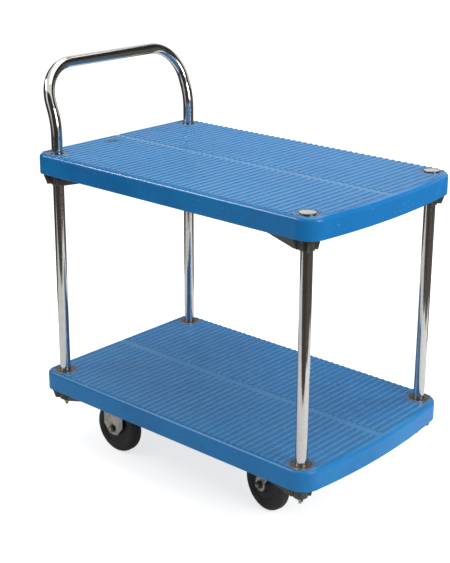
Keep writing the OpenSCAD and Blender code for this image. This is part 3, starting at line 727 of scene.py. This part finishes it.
# floor, light and camera
studio = {
    "floorSize": 60,
    "floorGrey": 0.62,
    "floorGlow": 0.70,
    "floorMirrored": 0.12,
    "paperRoughness": 0.9,
    "worldWhite": 1.0,
    "worldLight": 0.55,
    "worldTint": (0.96, 0.98, 1, 1),
    "pictureHeight": 563,
    "focal": 1240.94,  # in pixels, like the centre
    "centre": (8.204, -35.845),
    "sensor": 36,
    "clip": (0.05, 100),
    "cameraPlace": (1.71708, -1.99206, 1.37267),
    "azimuth": 41.045,
    "elevation": 17.923,
    "roll": 0.398,
    # cards that only shiny surfaces show: name, place, size, tilt, turn, colour
    "cards": [
        ("cardCamera", (1.58, -2.06, 0.002), (6.0, 3.0), 0, 37.5, (0.035, 0.026, 0.020)),
        ("cardRight", (2.6, 1.0, 0.003), (2.6, 6.0), 0, 0, (0.035, 0.030, 0.026)),
        ("cardLeft", (-2.55, -0.6, 0.004), (2.6, 6.0), 0, 0, (0.035, 0.030, 0.026)),
        ("cardFar", (-0.3, 1.2, 0.005), (5.0, 0.5), 0, 0, (0.06, 0.054, 0.048)),
        ("ceilingFar", (1.65, 3.1, 2.9), (5.1, 4.0), 0, 0, (0.05, 0.045, 0.04)),
        ("cardBehind", (-0.3, 1.45, 0.47), (5.0, 0.94), 90, 0, (0.10, 0.09, 0.08)),
        ("wallCamera", (2.44, -3.18, 2.0), (7.0, 4.0), 90, 37.5, (0.05, 0.042, 0.036)),
        ("wallLeft", (-3.3, -2.2, 2.0), (6.4, 4.0), 90, 90, (0.07, 0.06, 0.052)),
        ("wallRight", (3.1, 2.4, 1.5), (4.4, 3.0), 90, 128, (0.08, 0.07, 0.06)),
    ],
    # name, place, target, size, power, whether it lights dull surfaces, whether shiny ones show it
    "lamps": [
        ("overheadSoftbox", (0.2, 0.3, 3.0), (0, 0, 0.5), (3.0, 2.0), 38, True, True),
        ("backSoftbox", (1.4, 2.4, 1.3), (0.1, 0, 0.2), (1.4, 1.0), 40, True, False),
        ("frontSoftbox", (2.8, -0.1, 1.45), (0.2, 0, 0.45), (1.3, 1.3), 40, True, True),
        ("stripSoftbox", (-1.87, -1.85, 2.35), (0.05, -0.2, 0.45), (1.4, 0.2), 19, True, True),
        ("edgeSoftbox", (-1.8, -1.8, 2.2), (0.05, -0.2, 0.45), (1.3, 0.55), 45, False, True),
    ],
}


def makeFloor():
    deselectAll()
    bpy.ops.mesh.primitive_plane_add(size=studio["floorSize"], location=(0, 0, 0))
    floor = bpy.context.active_object
    floor.name = "studioFloor"
    material, tree, shader = newMaterial("floorPaper")
    grey = studio["floorGrey"]
    shader.inputs["Base Color"].default_value = (grey, grey, grey, 1)
    shader.inputs["Roughness"].default_value = studio["paperRoughness"]
    glow = tree.nodes.new("ShaderNodeEmission")
    rays = tree.nodes.new("ShaderNodeLightPath").outputs
    mirrored = doMath(tree, "MAXIMUM", rays["Is Glossy Ray"], rays["Is Transmission Ray"])
    seen = times(tree, rays["Is Camera Ray"], studio["floorGlow"])
    tree.links.new(raised(tree, seen, mirrored, studio["floorMirrored"]), glow.inputs["Strength"])
    both = tree.nodes.new("ShaderNodeAddShader")
    tree.links.new(shader.outputs["BSDF"], both.inputs[0])
    tree.links.new(glow.outputs["Emission"], both.inputs[1])
    tree.links.new(both.outputs[0], tree.nodes["Material Output"].inputs["Surface"])
    floor.data.materials.append(material)


def makeWorld():
    world = bpy.data.worlds.new("studioWorld")
    scene.world = world
    world.use_nodes = True
    tree = world.node_tree
    tree.nodes.clear()
    output = tree.nodes.new("ShaderNodeOutputWorld")
    rays = tree.nodes.new("ShaderNodeLightPath").outputs
    mirrored = doMath(tree, "MAXIMUM", rays["Is Glossy Ray"], rays["Is Transmission Ray"])
    seen = doMath(tree, "MAXIMUM", rays["Is Camera Ray"], mirrored)
    backdrop = addNode(tree, "ShaderNodeBackground", {
        "Color": (1, 1, 1, 1), "Strength": studio["worldWhite"]})
    light = addNode(tree, "ShaderNodeBackground", {
        "Color": studio["worldTint"], "Strength": studio["worldLight"]})
    mix = addNode(tree, "ShaderNodeMixShader", {0: seen, 1: light.outputs[0], 2: backdrop.outputs[0]})
    tree.links.new(mix.outputs[0], output.inputs["Surface"])


def addCard(name, place, size, tilt, turn, shade):
    deselectAll()
    bpy.ops.mesh.primitive_plane_add(size=1, location=(0, 0, 0))
    card = bpy.context.active_object
    card.name = name
    card.data.transform(Matrix.Diagonal((*size, 1, 1)))
    card.data.transform(Matrix.Rotation(math.radians(tilt), 4, "X"))
    card.data.transform(Matrix.Rotation(math.radians(turn), 4, "Z"))
    card.data.transform(Matrix.Translation(place))
    material, _, shader = newMaterial(name + "Paper")
    shader.inputs["Base Color"].default_value = (*shade, 1)
    shader.inputs["Roughness"].default_value = studio["paperRoughness"]
    card.data.materials.append(material)
    card.visible_camera = False
    card.visible_diffuse = False
    card.visible_shadow = False


def addSoftbox(name, place, target, size, power, lightsDull, showsInShiny):
    light = bpy.data.lights.new(name, "AREA")
    light.shape = "RECTANGLE"
    light.size, light.size_y = size
    light.energy = power
    lamp = bpy.data.objects.new(name, light)
    scene.collection.objects.link(lamp)
    lamp.location = place
    lamp.rotation_euler = (Vector(target) - Vector(place)).to_track_quat("-Z", "Y").to_euler()
    lamp.visible_diffuse = lightsDull
    lamp.visible_glossy = showsInShiny


def makeCamera():
    data = bpy.data.cameras.new("studioCamera")
    camera = bpy.data.objects.new("studioCamera", data)
    scene.collection.objects.link(camera)
    data.sensor_width = studio["sensor"]
    data.lens = studio["focal"] * studio["sensor"] / studio["pictureHeight"]
    data.shift_x = -studio["centre"][0] / studio["pictureHeight"]
    data.shift_y = studio["centre"][1] / studio["pictureHeight"]
    data.clip_start, data.clip_end = studio["clip"]
    azimuth, elevation, roll = (math.radians(studio[key]) for key in ("azimuth", "elevation", "roll"))
    flat = math.cos(elevation)
    back = Vector((math.sin(azimuth) * flat, -math.cos(azimuth) * flat, math.sin(elevation)))
    right = Vector((0, 0, 1)).cross(back).normalized()
    up = back.cross(right)
    turnedRight = math.cos(roll) * right + math.sin(roll) * up
    turnedUp = math.cos(roll) * up - math.sin(roll) * right
    camera.matrix_world = Matrix((turnedRight, turnedUp, back)).transposed().to_4x4()
    camera.matrix_world.translation = Vector(studio["cameraPlace"])
    scene.camera = camera


makeFloor()
makeWorld()
for cardSettings in studio["cards"]:
    addCard(*cardSettings)
for lampSettings in studio["lamps"]:
    addSoftbox(*lampSettings)
makeCamera()
scene.view_settings.view_transform = "Standard"
print("stage: floor, light and camera")
